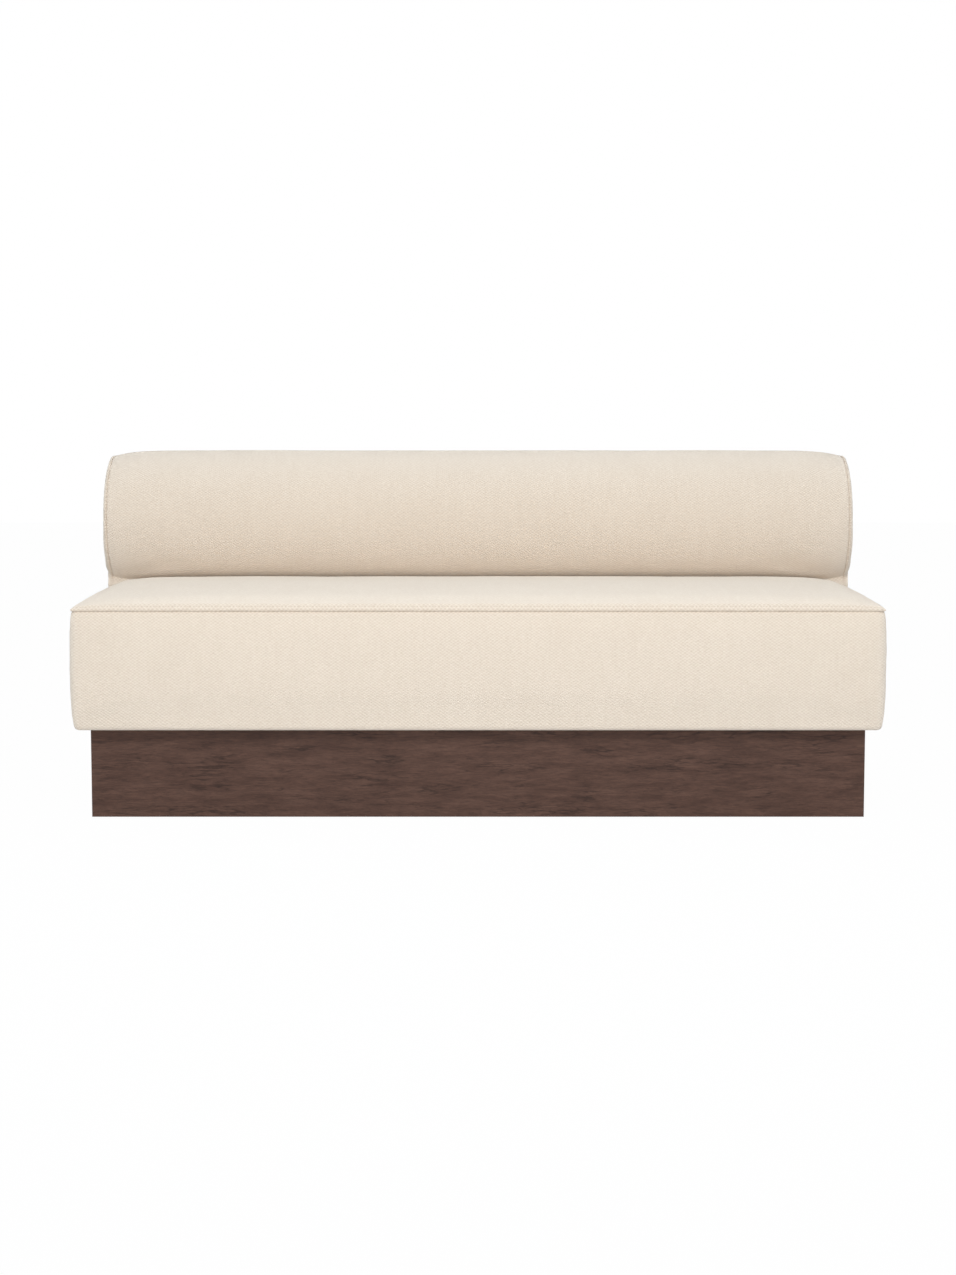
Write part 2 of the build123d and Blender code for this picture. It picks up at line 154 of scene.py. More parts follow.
def make_floor():
    """Light grey floor that the camera sees as nearly plain white."""
    material = bpy.data.materials.new("studio_floor")
    nodes, links = empty_tree(material)
    matte = nodes.new("ShaderNodeBsdfDiffuse")
    matte.inputs["Color"].default_value = (FLOOR_TONE, FLOOR_TONE, FLOOR_TONE, 1)
    glow = nodes.new("ShaderNodeEmission")
    glow.inputs["Strength"].default_value = 1
    share = nodes.new("ShaderNodeMath")
    share.operation = "MULTIPLY"
    share.inputs[1].default_value = FLOOR_GLOW
    links.new(backdrop_rays(nodes, links), share.inputs[0])
    mix_to_output(nodes, links, share.outputs[0], matte.outputs[0], glow.outputs[0],
                  "ShaderNodeOutputMaterial")
    mesh = bpy.data.meshes.new("floor")
    corners = ((-1, -1, 0), (1, -1, 0), (1, 1, 0), (-1, 1, 0))
    mesh.from_pydata([Vector(corner) * FLOOR_REACH for corner in corners], [], [(0, 1, 2, 3)])
    mesh.materials.append(material)
    floor = bpy.data.objects.new("floor", mesh)
    bpy.context.scene.collection.objects.link(floor)


# Shaders

class Shader:
    """Small helper that builds one procedural material."""

    def __init__(self, name, settings=None):
        self.material = bpy.data.materials.new(name)
        self.material.use_nodes = True
        self.nodes = self.material.node_tree.nodes
        self.links = self.material.node_tree.links
        self.bsdf = self.nodes["Principled BSDF"]
        for key, value in (settings or {}).items():
            self.bsdf.inputs[key].default_value = value

    def feed(self, socket, value):
        if isinstance(value, bpy.types.NodeSocket):
            self.links.new(value, socket)
        else:
            socket.default_value = value

    def object_place(self):
        return self.nodes.new("ShaderNodeTexCoord").outputs["Object"]

    def cloth_place(self):
        """Place on the cloth before it was sewn, in metres."""
        node = self.nodes.new("ShaderNodeUVMap")
        node.uv_map = "cloth"
        return node.outputs[0]

    def split(self, vector):
        node = self.nodes.new("ShaderNodeSeparateXYZ")
        self.feed(node.inputs[0], vector)
        return node.outputs

    def math(self, operation, a, b=0.0, c=0.0):
        node = self.nodes.new("ShaderNodeMath")
        node.operation = operation
        for socket, value in zip(node.inputs, (a, b, c)):
            self.feed(socket, value)
        return node.outputs[0]

    def around(self, value, weight, base=0.0):
        """The base, raised and lowered as the value goes above and below its middle of 0.5."""
        return self.math("MULTIPLY_ADD", self.math("SUBTRACT", value, 0.5), weight, base)

    def remap(self, value, low, high, to_low, to_high):
        node = self.nodes.new("ShaderNodeMapRange")
        self.feed(node.inputs["Value"], value)
        ends = {"From Min": low, "From Max": high, "To Min": to_low, "To Max": to_high}
        for key, end in ends.items():
            node.inputs[key].default_value = end
        return node.outputs[0]

    def texture_noise(self, vector, scale, detail=2.0, rough=0.5):
        """Noise from 0 to 1; a scale of three numbers stretches it along the axes."""
        if isinstance(scale, tuple):
            stretch = self.nodes.new("ShaderNodeMapping")
            self.feed(stretch.inputs["Vector"], vector)
            stretch.inputs["Scale"].default_value = scale
            vector, scale = stretch.outputs[0], 1
        node = self.nodes.new("ShaderNodeTexNoise")
        self.feed(node.inputs["Vector"], vector)
        node.inputs["Scale"].default_value = scale
        node.inputs["Detail"].default_value = detail
        node.inputs["Roughness"].default_value = rough
        return node.outputs["Fac"]

    def ramp(self, value, stops):
        node = self.nodes.new("ShaderNodeValToRGB")
        self.feed(node.inputs[0], value)
        points = node.color_ramp.elements
        while len(points) < len(stops):
            points.new(0.5)
        for point, (place, color) in zip(points, stops):
            point.position = place
            point.color = (*color, 1)
        return node.outputs[0]

    def brighten(self, color, factor):
        node = self.nodes.new("ShaderNodeVectorMath")
        node.operation = "SCALE"
        self.feed(node.inputs[0], color)
        self.feed(node.inputs["Scale"], factor)
        return node.outputs[0]

    def bump(self, height, distance, strength):
        node = self.nodes.new("ShaderNodeBump")
        node.inputs["Strength"].default_value = strength
        node.inputs["Distance"].default_value = distance
        self.feed(node.inputs["Height"], height)
        return node.outputs[0]

    def finish(self, color, roughness, normal):
        self.feed(self.bsdf.inputs["Base Color"], color)
        self.feed(self.bsdf.inputs["Roughness"], roughness)
        self.feed(self.bsdf.inputs["Normal"], normal)
        return self.material


# The weave's pitch across and along, and how far it wanders, in metres
WALE = 0.00883
COURSE = 0.00611
WANDER = 0.0034
# Painted shade: how much darker the cloth's colour is made beside a seam, and the millimetres over
# which it fades
PAINTED_SEAM_SHADE = 0.25
PAINTED_SEAM_SHADE_WIDTH = 3.5


def woven_fabric(name, light, dark):
    """Thick woven cloth: staggered bright floats on a tan ground, uneven yarns and fine fuzz, with
    painted shade beside its seams.
    """
    s = Shader(name, {
        "Diffuse Roughness": 0.9, "Specular IOR Level": 0.1,
        "Sheen Weight": 0.2, "Sheen Roughness": 0.5, "Sheen Tint": (1.0, 0.93, 0.84, 1)})
    cloth = s.cloth_place()
    parts = s.split(cloth)
    shift = s.around(s.texture_noise(cloth, 38), WANDER)
    across = s.math("MULTIPLY", s.math("ADD", parts[0], shift), 2 * math.pi / WALE)
    along = s.math("MULTIPLY", s.math("SUBTRACT", parts[1], shift), 2 * math.pi / COURSE)
    falling = s.math("COSINE", s.math("ADD", across, along))
    rising = s.math("COSINE", s.math("SUBTRACT", across, along))
    lean = s.math("MULTIPLY_ADD", s.texture_noise(cloth, 60), 0.6, 0.20)
    lattice = s.math("ADD", s.math("MULTIPLY", falling, lean),
                     s.math("MULTIPLY", rising, s.math("SUBTRACT", 1.0, lean)))
    yarn = s.texture_noise(cloth, (260, 760, 1), 2, 0.6)
    fuzz = s.texture_noise(cloth, 900, 3, 0.7)
    floats = s.texture_noise(cloth, (150, 230, 1), 1, 0.5)
    slub = s.texture_noise(cloth, (60, 14, 1), 3, 0.6)
    cloud = s.texture_noise(cloth, 7, 3, 0.5)
    tone = s.math("MULTIPLY_ADD", lattice, 0.28, 0.58)
    for value, weight in ((yarn, 0.45), (fuzz, 0.35), (floats, 0.55), (slub, 0.22), (cloud, 0.14)):
        tone = s.around(value, weight, tone)
    # Painted shade: the colour darkens within a few millimetres of a seam, in the seat top's roll,
    # at the hem and in the crease at the bolster's notch
    seam = s.nodes.new("ShaderNodeAttribute")
    seam.attribute_name = "seam"
    shade = s.remap(seam.outputs["Fac"], 0.0, PAINTED_SEAM_SHADE_WIDTH, -PAINTED_SEAM_SHADE, 0.0)
    color = s.ramp(s.math("ADD", tone, shade), [(0.0, dark), (1.0, light)])
    height = 0.0
    for value, weight in ((fuzz, 0.08), (lattice, 0.45), (yarn, 0.14), (floats, 0.35)):
        height = s.math("MULTIPLY_ADD", value, weight, height)
    return s.finish(color, 0.93, s.bump(height, 0.0006, 0.9))


def stained_oak(name, along_x):
    """Dark stained oak veneer: level fibrous grain with short dark checks and open pores."""
    s = Shader(name, {"Specular IOR Level": 0.2})
    turn = s.nodes.new("ShaderNodeMapping")
    s.feed(turn.inputs["Vector"], s.object_place())
    turn.inputs["Rotation"].default_value = (0, 0, 0 if along_x else math.radians(90))
    board = turn.outputs[0]
    shift = s.nodes.new("ShaderNodeCombineXYZ")
    s.feed(shift.inputs["Z"], s.around(s.texture_noise(board, (8, 1, 34), 3, 0.6), 0.016))
    bend = s.nodes.new("ShaderNodeVectorMath")
    bend.operation = "ADD"
    s.feed(bend.inputs[0], board)
    s.feed(bend.inputs[1], shift.outputs[0])
    flow = bend.outputs[0]
    clouds = s.texture_noise(flow, (12, 4, 66), 3, 0.55)
    fibres = s.texture_noise(flow, (42, 9, 330), 3, 0.65)
    pores = s.texture_noise(flow, (110, 20, 900), 2, 0.6)
    vein = s.texture_noise(flow, (14, 4, 130), 3, 0.5)
    patch = s.texture_noise(board, (8, 3, 32), 2, 0.5)
    base = s.ramp(clouds, [
        (0.30, (0.0737, 0.0362, 0.0249)), (0.50, (0.0979, 0.0495, 0.0342)),
        (0.70, (0.1179, 0.0610, 0.0426))])
    line = s.remap(s.math("ABSOLUTE", s.math("SUBTRACT", vein, 0.5)), 0.0, 0.055, 1.0, 0.0)
    checks = s.math("MULTIPLY", line, s.remap(patch, 0.50, 0.62, 0.05, 0.52))
    open_pores = s.remap(pores, 0.30, 0.46, 0.76, 1.0)
    level = s.math("MULTIPLY", s.around(fibres, 1.15, 1.0), open_pores)
    level = s.math("MULTIPLY", level, s.math("SUBTRACT", 1.0, checks))
    height = s.math("SUBTRACT", s.math("MULTIPLY_ADD", fibres, 0.6, open_pores), checks)
    rough = s.math("MULTIPLY_ADD", fibres, 0.18, 0.46)
    return s.finish(s.brighten(base, level), rough, s.bump(height, 0.0003, 0.5))


def plywood(name):
    """Pale birch plywood with a soft grain and fine fibres along X."""
    s = Shader(name)
    place = s.object_place()
    grain = s.texture_noise(place, (4, 60, 60), 4, 0.6)
    fibre = s.texture_noise(place, (30, 500, 500), 2, 0.5)
    color = s.ramp(grain, [
        (0.3, (0.50, 0.33, 0.18)), (0.55, (0.64, 0.46, 0.28)), (0.75, (0.72, 0.55, 0.36))])
    level = s.around(fibre, 0.25, 1.0)
    return s.finish(s.brighten(color, level), 0.68, s.bump(fibre, 0.0003, 0.4))


def zinc_steel(name):
    """Zinc plated steel with a fine brushed grain."""
    s = Shader(name, {"Metallic": 1.0})
    place = s.object_place()
    brushed = s.texture_noise(place, (300, 300, 2500), 2, 0.5)
    cloud = s.texture_noise(place, 90)
    color = s.ramp(cloud, [(0.3, (0.52, 0.52, 0.50)), (0.7, (0.68, 0.68, 0.66))])
    rough = s.math("MULTIPLY_ADD", brushed, 0.25, 0.28)
    return s.finish(color, rough, s.bump(brushed, 0.0001, 0.3))


def moulded_plastic(name, color):
    """Dark moulded plastic with a fine spark-eroded surface."""
    s = Shader(name)
    grit = s.texture_noise(s.object_place(), 2600, 2, 0.5)
    level = s.math("MULTIPLY_ADD", grit, 0.3, 0.85)
    return s.finish(s.brighten(color, level), 0.55, s.bump(grit, 0.0001, 0.4))


def sewing_thread(name, color):
    """Twisted polyester thread, a little darker than the cloth."""
    s = Shader(name)
    parts = s.split(s.cloth_place())
    twist = s.math("SINE", s.math("MULTIPLY", s.math("ADD", parts[0], parts[1]), 9000.0))
    level = s.math("MULTIPLY_ADD", twist, 0.10, 0.95)
    return s.finish(s.brighten(color, level), 0.6, s.bump(twist, 0.0002, 0.5))


def plain_weave(name, color, pitch):
    """Tight plain weave for webbing and lining cloth."""
    s = Shader(name)
    place = s.object_place()
    parts = s.split(place)
    waves = [s.math("SINE", s.math("MULTIPLY", part, 2 * math.pi / pitch)) for part in parts[:2]]
    check = s.math("MULTIPLY", waves[0], waves[1])
    fuzz = s.texture_noise(place, 900, 2, 0.6)
    level = s.math("MULTIPLY_ADD", check, 0.22, s.math("MULTIPLY_ADD", fuzz, 0.4, 0.8))
    return s.finish(s.brighten(color, level), 0.85, s.bump(check, 0.0004, 0.6))


# Mesh helpers

def curve(xs, ys, at):
    """Smooth curve through the given points that never overshoots them."""
    xs, ys, at = np.asarray(xs, float), np.asarray(ys, float), np.asarray(at, float)
    step = np.diff(xs)
    slope = np.diff(ys) / step
    tangent = np.zeros(len(xs))
    tangent[0], tangent[-1] = slope[0], slope[-1]
    for i in range(1, len(xs) - 1):
        if slope[i - 1] * slope[i] > 0:
            a, b = 2 * step[i] + step[i - 1], step[i] + 2 * step[i - 1]
            tangent[i] = (a + b) / (a / slope[i - 1] + b / slope[i])
    at = np.clip(at, xs[0], xs[-1])
    i = np.clip(np.searchsorted(xs, at) - 1, 0, len(step) - 1)
    t = (at - xs[i]) / step[i]
    h = step[i]
    return ((1 + 2 * t) * (1 - t) ** 2 * ys[i] + t * (1 - t) ** 2 * h * tangent[i]
            + t ** 2 * (3 - 2 * t) * ys[i + 1] + t ** 2 * (t - 1) * h * tangent[i + 1])


def through(pairs, at):
    """The curve through a list of x, y pairs."""
    return curve(*zip(*pairs), at)


def refined(pairs):
    """Both columns of a list of pairs as smooth rows, with one more place between each two."""
    pairs = np.array(pairs, float)
    places = np.linspace(0, len(pairs) - 1, 2 * len(pairs) - 1)
    return [curve(range(len(pairs)), column, places) for column in pairs.T]


def smooth_step(value):
    t = np.clip(value, 0, 1)
    return t * t * (3 - 2 * t)


def between(low, high, step):
    """Even places from low up to but without high, about step apart."""
    count = max(1, round(abs(high - low) / step))
    return list(low + (high - low) * np.arange(count) / count)


def run_along(points):
    """Length along a row of points, from 0 at its first."""
    return np.concatenate([[0], np.cumsum(np.linalg.norm(np.diff(points, axis=0), axis=1))])


def grid_faces(rows, cols, wrap=False, base=0):
    """Quads between rows of points; wrap joins the last column to the first."""
    faces = []
    for r in range(rows - 1):
        for c in range(cols if wrap else cols - 1):
            here, beside = base + r * cols + c, base + r * cols + (c + 1) % cols
            faces.append((here, beside, beside + cols, here + cols))
    return faces


def add_piece(name, points, faces, uvs, seam, material):
    """One mesh piece; points, uvs and seam distances are in millimetres, one for each point."""
    mesh = bpy.data.meshes.new(name)
    mesh.from_pydata((np.asarray(points) * MM).tolist(), [], faces)
    mesh.polygons.foreach_set("use_smooth", [True] * len(mesh.polygons))
    layer = mesh.uv_layers.new(name="cloth")
    corner = np.zeros(len(mesh.loops), np.int64)
    mesh.loops.foreach_get("vertex_index", corner)
    layer.data.foreach_set("uv", (np.asarray(uvs)[corner] * MM).ravel().astype(np.float32))
    mark = mesh.attributes.new("seam", "FLOAT", "POINT")
    mark.data.foreach_set("value", np.asarray(seam, np.float32))
    mesh.materials.append(material)
    weld = bmesh.new()
    weld.from_mesh(mesh)
    bmesh.ops.remove_doubles(weld, verts=weld.verts, dist=WELD)
    weld.to_mesh(mesh)
    weld.free()
    mesh.update()
    piece = bpy.data.objects.new(name, mesh)
    bpy.context.scene.collection.objects.link(piece)
    return piece


def mesh_vectors(mesh, kind="co"):
    """Places of a mesh's points in metres, or their normals."""
    values = np.zeros(len(mesh.vertices) * 3)
    mesh.vertices.foreach_get(kind, values)
    return values.reshape(-1, 3)


def seam_distances(mesh):
    seam = np.zeros(len(mesh.vertices), np.float32)
    mesh.attributes["seam"].data.foreach_get("value", seam)
    return seam


def set_places(mesh, places):
    mesh.vertices.foreach_set("co", places.ravel())
    mesh.update()


# Waves per metre and weights of the cloth's slow unevenness and its small puckers
SLOW_WAVES = ((7.0, 1.0), (19.0, 0.5))
SMALL_WAVES = ((62.0, 1.0), (117.0, 0.6))
# Millimetres from a seam: where the unevenness is full, and where the puckers are
UNEVEN_FROM = 30.0
PUCKER_AT, PUCKER_SPREAD = 9.0, 8.0


def soften(piece, swell, pucker):
    """Slow unevenness of stuffed cloth, and small puckers that run off the seams."""
    place, normal = mesh_vectors(piece.data), mesh_vectors(piece.data, "normal")
    lift = np.zeros(len(place))
    for i, (point, seam) in enumerate(zip(place, seam_distances(piece.data))):
        slow, small = [sum(weight * noise.noise(Vector(point) * pitch) for pitch, weight in waves)
                       for waves in (SLOW_WAVES, SMALL_WAVES)]
        free = min(1.0, seam / UNEVEN_FROM)
        near = math.exp(-((seam - PUCKER_AT) / PUCKER_SPREAD) ** 2)
        lift[i] = swell * slow * free + pucker * small * near
    set_places(piece.data, place + normal * lift[:, None] * MM)


# Seat border: one band swept round the seat

# Height and outward offset, from the hem under the seat up to the seam
BAND = [
    (186.3, -62), (186.2, -50), (186.2, -38), (186, -30), (185.4, -23), (184.9, -17),
    (184.8, -12.5), (185.4, -8.6), (186.9, -5.4), (189.4, -2.8), (193.2, -1), (198.5, 0.4),
    (206, 2.0), (216, 3.3), (230, 4.1), (248, 4.8), (270, 5.4), (297, 5.9), (325, 6.1), (352, 5.9),
    (375, 5.3), (394, 4.2), (407, 2.9), (415.5, 1.8), (420.4, 0.9), (423.4, 0.1), (425.4, -0.6),
    (426.9, -1.4), (427.9, -2.2), (428.35, -3.2), (428.4, -6),
]
BORDER_CORNER = 15
BORDER_STEP = 9
CORNER_STEPS = 10
HEM = 50  # the band's flat turn under the seat
BORDER_HELD = 4  # the band's upper rows lie in the seam


def rounded_loop(half_x, half_y, radius):
    """Closed loop round a rectangle, anticlockwise from above: points, outward ways and run."""
    points, outward = [], []
    inner = np.array([half_x - radius, half_y - radius])
    corners = [((1, -1), -90), ((1, 1), 0), ((-1, 1), 90), ((-1, -1), 180)]
    for (signs, start), (next_signs, _) in zip(corners, corners[1:] + corners[:1]):
        centre = inner * signs
        for k in range(CORNER_STEPS + 1):
            angle = math.radians(start + 90 * k / CORNER_STEPS)
            way = np.array([math.cos(angle), math.sin(angle)])
            points.append(centre + radius * way)
            outward.append(way)
        side = inner * next_signs - centre
        length = np.linalg.norm(side)
        for t in between(0, length, BORDER_STEP)[1:]:
            points.append(centre + radius * way + side * t / length)
            outward.append(way)
    points, outward = np.array(points + points[:1]), np.array(outward + outward[:1])
    return points, outward, run_along(points)


def seat_border(material):
    loop, outward, run = rounded_loop(HALF_WIDTH, HALF_DEPTH, BORDER_CORNER)
    heights, offsets = refined(BAND)
    up = run_along(np.column_stack([heights, offsets]))
    points, uvs, seam = [], [], []
    for z, offset, s in zip(heights, offsets, up):
        # Beyond the corners' radius the sides move straight inwards and meet in a mitre
        rounded = max(offset, 1.0 - BORDER_CORNER)
        for p, way, r in zip(loop, outward, run):
            place = p + way * rounded
            inwards = np.where(np.abs(way) > 1e-6, rounded - offset, 0.0)
            place -= np.copysign(np.minimum(np.abs(place), inwards), place)
            points.append((*place, z))
            uvs.append((r, s))
            seam.append(min(up[-1] - s - BORDER_HELD, max(s - HEM, 0)))
    faces = grid_faces(len(heights), len(loop))
    return add_piece("seat_border", points, faces, uvs, seam, material)


# Seat top: crowned panel with a small roll along its seam

CROWN = 29.3
# Distance from an edge of the panel and the share of the crown's height there
CROWN_FROM_END = [(0, 0), (8, 0.33), (20, 0.53), (50, 0.785), (90, 0.90), (125, 0.945),
                  (180, 0.98), (260, 0.995), (400, 1), (825, 1.005)]
CROWN_FROM_FRONT = [(0, 0), (8, 0.33), (20, 0.47), (50, 0.63), (100, 0.75), (160, 0.86),
                    (230, 0.96), (300, 1), (600, 1)]
CROWN_FROM_NECK = [(0, 0.10), (4, 0.45), (12, 0.72), (22, 0.87), (35, 0.94), (60, 0.98),
                   (110, 1), (600, 1)]
# The roll's offset inwards and its share of the height, from the panel's edge down to the seam
ROLL = [(0.4, 0.80), (-1.1, 0.60), (-1.3, 0.40), (-0.5, 0.22), (1.0, 0.09), (2.7, 0.01), (6, 0)]
ROLL_HEIGHT = 6.4
ROLL_RISE = [(0, 0.7), (2.4, 0.93), (5, 1), (2000, 1)]
ROLL_RUN = 6
TOP_HELD = 3  # the roll's width of cloth, between the panel's edge and the seam
TOP_CORNER = 9
EDGE_STEPS = [2.4, 3.8, 5.6, 8, 11, 15, 20, 26, 33, 41, 50, 60, 71, 83]
# Where the even steps begin, where the close ones at the neck do, and the panel's depth
EVEN_FROM, NECK_FROM, NECK_DEPTH = 96, 460, 522
STEP_X, STEP_Y, NECK_STEP = 11, 10, 4.0
GROOVE, GROOVE_SPREAD = 0.5, 2.2
STITCH_INSET = 3.6
STITCH_PITCH = 6.2
STITCH_REAR = 155
STITCH_TURN = 7
# A stitch's rings: place along it, radius and depth
STITCH_RINGS = ((-2.2, 0.12, 0.45), (-1.5, 0.5, 0.05), (1.5, 0.5, 0.05), (2.2, 0.12, 0.45))
STITCH_SIDES = 6
STITCH_FLAT = 1.15
STITCH_TILT, TILT_WAVES = 0.10, 0.31


def top_height(from_end, from_front):
    """Height of the panel over the seam: the roll, the crown and the stitches' shallow groove."""
    from_edge = min(from_end, from_front)
    crown = (CROWN * through(CROWN_FROM_END, [from_end]) * through(CROWN_FROM_FRONT, [from_front])
             * through(CROWN_FROM_NECK, [NECK_DEPTH - from_front]))
    height = ROLL_HEIGHT * float(through(ROLL_RISE, [from_edge])[0]) + float(crown[0])
    return height - GROOVE * math.exp(-((from_edge - STITCH_INSET) / GROOVE_SPREAD) ** 2)


def seat_top(material):
    ends = EDGE_STEPS + between(EVEN_FROM, HALF_WIDTH, STEP_X)
    xs = [-HALF_WIDTH + e for e in ends] + [0.0] + [HALF_WIDTH - e for e in reversed(ends)]
    fronts = EDGE_STEPS + between(EVEN_FROM, NECK_FROM, STEP_Y)
    fronts += list(np.arange(NECK_FROM, NECK_DEPTH + 1, NECK_STEP))
    cols, rows = len(xs), len(fronts)
    points, uvs, seam = [], [], []
    for d in fronts:
        for x in xs:
            e = HALF_WIDTH - abs(x)
            px, py = x, -HALF_DEPTH + d
            p, q = (TOP_CORNER - e) / TOP_CORNER, (TOP_CORNER - d) / TOP_CORNER
            if p > 0 and q > 0:
                reach = TOP_CORNER * p * math.sqrt(1 - q * q / 2)
                px = math.copysign(HALF_WIDTH - TOP_CORNER + reach, x)
                py = -HALF_DEPTH + TOP_CORNER - TOP_CORNER * q * math.sqrt(1 - p * p / 2)
            points.append((px, py, SEAM_Z + top_height(e, d)))
            uvs.append((x, d))
            seam.append(min(e, d) + TOP_HELD)
    faces = grid_faces(rows, cols)
    # The roll hangs on the panel's edge: up the left end, along the front and down the right end
    before = [j * cols for j in range(rows - 1, 0, -1)] + list(range(cols))
    before += [j * cols + cols - 1 for j in range(1, rows)]
    edge = [(np.array(points[k]), uvs[k]) for k in before]
    centre_x, centre_y = HALF_WIDTH - TOP_CORNER, -HALF_DEPTH + TOP_CORNER
    for offset, share in ROLL:
        row = range(len(points), len(points) + len(edge))
        for p, uv in edge:
            over_x, over_y = max(abs(p[0]) - centre_x, 0.0), max(centre_y - p[1], 0.0)
            way = np.array([math.copysign(over_x, p[0]), -over_y])
            way = way / max(np.linalg.norm(way), 1e-6)
            flat = p[:2] + way * (EDGE_STEPS[0] - offset)
            points.append((flat[0], flat[1], SEAM_Z + (p[2] - SEAM_Z) * share))
            uvs.append(uv + way * ROLL_RUN * (1 - share))
            seam.append(TOP_HELD * share)
        faces += [(before[k], row[k], row[k + 1], before[k + 1]) for k in range(len(row) - 1)]
        before = row
    return add_piece("seat_top", points, faces, uvs, seam, material)


def top_stitches(top, material):
    """Row of short threads pulled into the seat top beside its seam."""
    surface = BVHTree.FromPolygons([v.co for v in top.data.vertices],
                                   [face.vertices for face in top.data.polygons])
    x_end, y_front = HALF_WIDTH - STITCH_INSET, STITCH_INSET - HALF_DEPTH
    half = [(x_end - STITCH_TURN, y_front), (x_end, y_front + STITCH_TURN), (x_end, STITCH_REAR)]
    line = [(-x, y) for x, y in reversed(half)] + half
    points, faces, uvs = [], [], []
    for start, end in zip(line, line[1:]):
        start, end = np.array(start, float), np.array(end, float)
        length = np.linalg.norm(end - start)
        way = (end - start) / length
        for t in between(STITCH_PITCH / 2, length, STITCH_PITCH):
            x, y = start + way * t
            spot, normal, _, _ = surface.ray_cast(Vector((x * MM, y * MM, 1)), Vector((0, 0, -1)))
            tilt = STITCH_TILT * noise.noise(Vector((x, y, 3.0)) * TILT_WAVES)
            along = Vector((way[0], way[1], 0)) + Vector((-way[1], way[0], 0)) * tilt
            along = (along - normal * along.dot(normal)).normalized()
            across = normal.cross(along)
            base = len(points)
            for run, radius, sink in STITCH_RINGS:
                for k in range(STITCH_SIDES):
                    angle = 2 * math.pi * k / STITCH_SIDES
                    offset = along * run + across * (radius * STITCH_FLAT * math.cos(angle))
                    offset += normal * (radius * math.sin(angle) - sink)
                    points.append(spot / MM + offset)
                    uvs.append((run, radius * angle))
            last = len(points) - STITCH_SIDES
            faces += grid_faces(len(STITCH_RINGS), STITCH_SIDES, wrap=True, base=base)
            faces.append(tuple(reversed(range(base, base + STITCH_SIDES))))
            faces.append(tuple(range(last, len(points))))
    return add_piece("seat_top_stitches", points, faces, uvs, np.full(len(points), FAR_FROM_SEAM),
                     material)


# Back: bolster and neck wrap, and two puffed end panels

NOTCH_POINT = 10  # the notch's place in the outline's row of points
# An outline further in than this turns its foot up too
SQUARE_INSET = 8
# The neck's foot: Y, Z and rise with the depth beyond that inset
NECK_FOOT = [(143, 428.2, 0.9), (145.5, 439, 0.85), (152, 446.5, 0.8), (160, 452, 0.75)]
# The rear foot: its Z, its rise, and how its edge curls forwards and down
REAR_FOOT_Z, REAR_FOOT_RISE = 432.8, 0.75
CURL_FORWARDS = np.array([0.4, 1.6, 3.6, 7.0])
CURL_DOWN = np.array([1.8, 3.2, 4.2, 4.6])
CURL_GONE = 10
# The wrap's last stretch towards an end seam: X and inset
WRAP_END = [
    (730, 0.0), (757, 0.3), (775, 1.0), (786, 2.0), (794, 3.2), (800, 4.3), (805, 5.4), (809, 6.4),
    (812, 7.1), (814.6, 7.7), (816.6, 8.3), (818.2, 9.0), (819.3, 9.8), (819.9, 10.8), (820, 12),
    (820, 15),
]
WRAP_STEP = 11
WRAP_HELD, NOTCH_FREE = 0.6, 2
# Points on the bolster, the top, the rear's bend and the rear, and how they close up at the notch
BOLSTER_STEPS, TOP_STEPS, BEND_STEPS, REAR_STEPS = 60, 6, 16, 24
NOTCH_EASE = 0.97
BEND_LEAST = 4
# The end panel's rings: inset and X
PANEL_RINGS = [
    (15, 820.0), (12, 820.05), (10.9, 820.2), (9.9, 820.7), (9.2, 821.6), (8.9, 822.8),
    (9.2, 824.2), (10.2, 825.8), (12, 827.6), (14.5, 829.3), (18, 830.9), (23, 832.0), (29, 832.5),
    (36, 832.8), (44, 832.95), (53, 833.0),
]
PANEL_MIDDLE = 833.1
PUFF_DEPTH = 13
PANEL_FLATTER, PANEL_FULLER, PANEL_DRAWN_IN = 2.6, 1.8, 2.4
PANEL_FOOT_X, FOOT_SHARE = 825.5, 0.8
FOOT_STEPS = 23
SPINE_SHARES = (0.17, 0.34, 0.5, 0.67, 0.84, 1.0)
EVENED_RINGS = 9
EVENING_ROUNDS = 60
SEAM_RINGS, SEAM_INSET = 9, 9  # rings that lie in the seam, and the inset where they end


def back_outline(inset):
    """The back's section from the neck's foot, over the bolster, to the rear foot: Y, Z."""
    deeper = max(inset - SQUARE_INSET, 0)
    radius = BOLSTER_R - inset
    notch_y = NOTCH_Y + deeper
    notch_z = BOLSTER_Z - math.sqrt(radius ** 2 - (BOLSTER_Y - notch_y) ** 2)
    neck = np.array([(y + deeper, z + rise * deeper) for y, z, rise in NECK_FOOT]
                    + [(notch_y, notch_z)])
    steps = np.linspace(0, len(neck) - 1, NOTCH_POINT + 1)
    neck = np.column_stack([curve(range(len(neck)), column, steps) for column in neck.T])
    start = math.atan2(notch_z - BOLSTER_Z, notch_y - BOLSTER_Y) % (2 * math.pi)
    shares = np.linspace(0, 1, BOLSTER_STEPS + 1)[1:] ** NOTCH_EASE
    turns = start + (math.pi / 2 - start) * shares
    bolster = np.column_stack([BOLSTER_Y + radius * np.cos(turns),
                               BOLSTER_Z + radius * np.sin(turns)])
    top = BOLSTER_Z + radius
    corner = max(REAR_R - inset, BEND_LEAST)
    rear = HALF_DEPTH - inset
    flat = np.column_stack([np.linspace(BOLSTER_Y, rear - corner, TOP_STEPS + 1)[1:],
                            np.full(TOP_STEPS, top)])
    turns = np.linspace(math.pi / 2, 0, BEND_STEPS + 1)[1:]
    bend = np.column_stack([rear - corner + corner * np.cos(turns),
                            top - corner + corner * np.sin(turns)])
    low = REAR_FOOT_Z + REAR_FOOT_RISE * deeper
    down = np.column_stack([np.full(REAR_STEPS, rear),
                            np.linspace(top - corner, low, REAR_STEPS + 1)[1:]])
    curl = np.column_stack([rear - CURL_FORWARDS * max(0.0, 1 - deeper / CURL_GONE),
                            low - CURL_DOWN])
    return np.vstack([neck, bolster, flat, bend, down, curl])


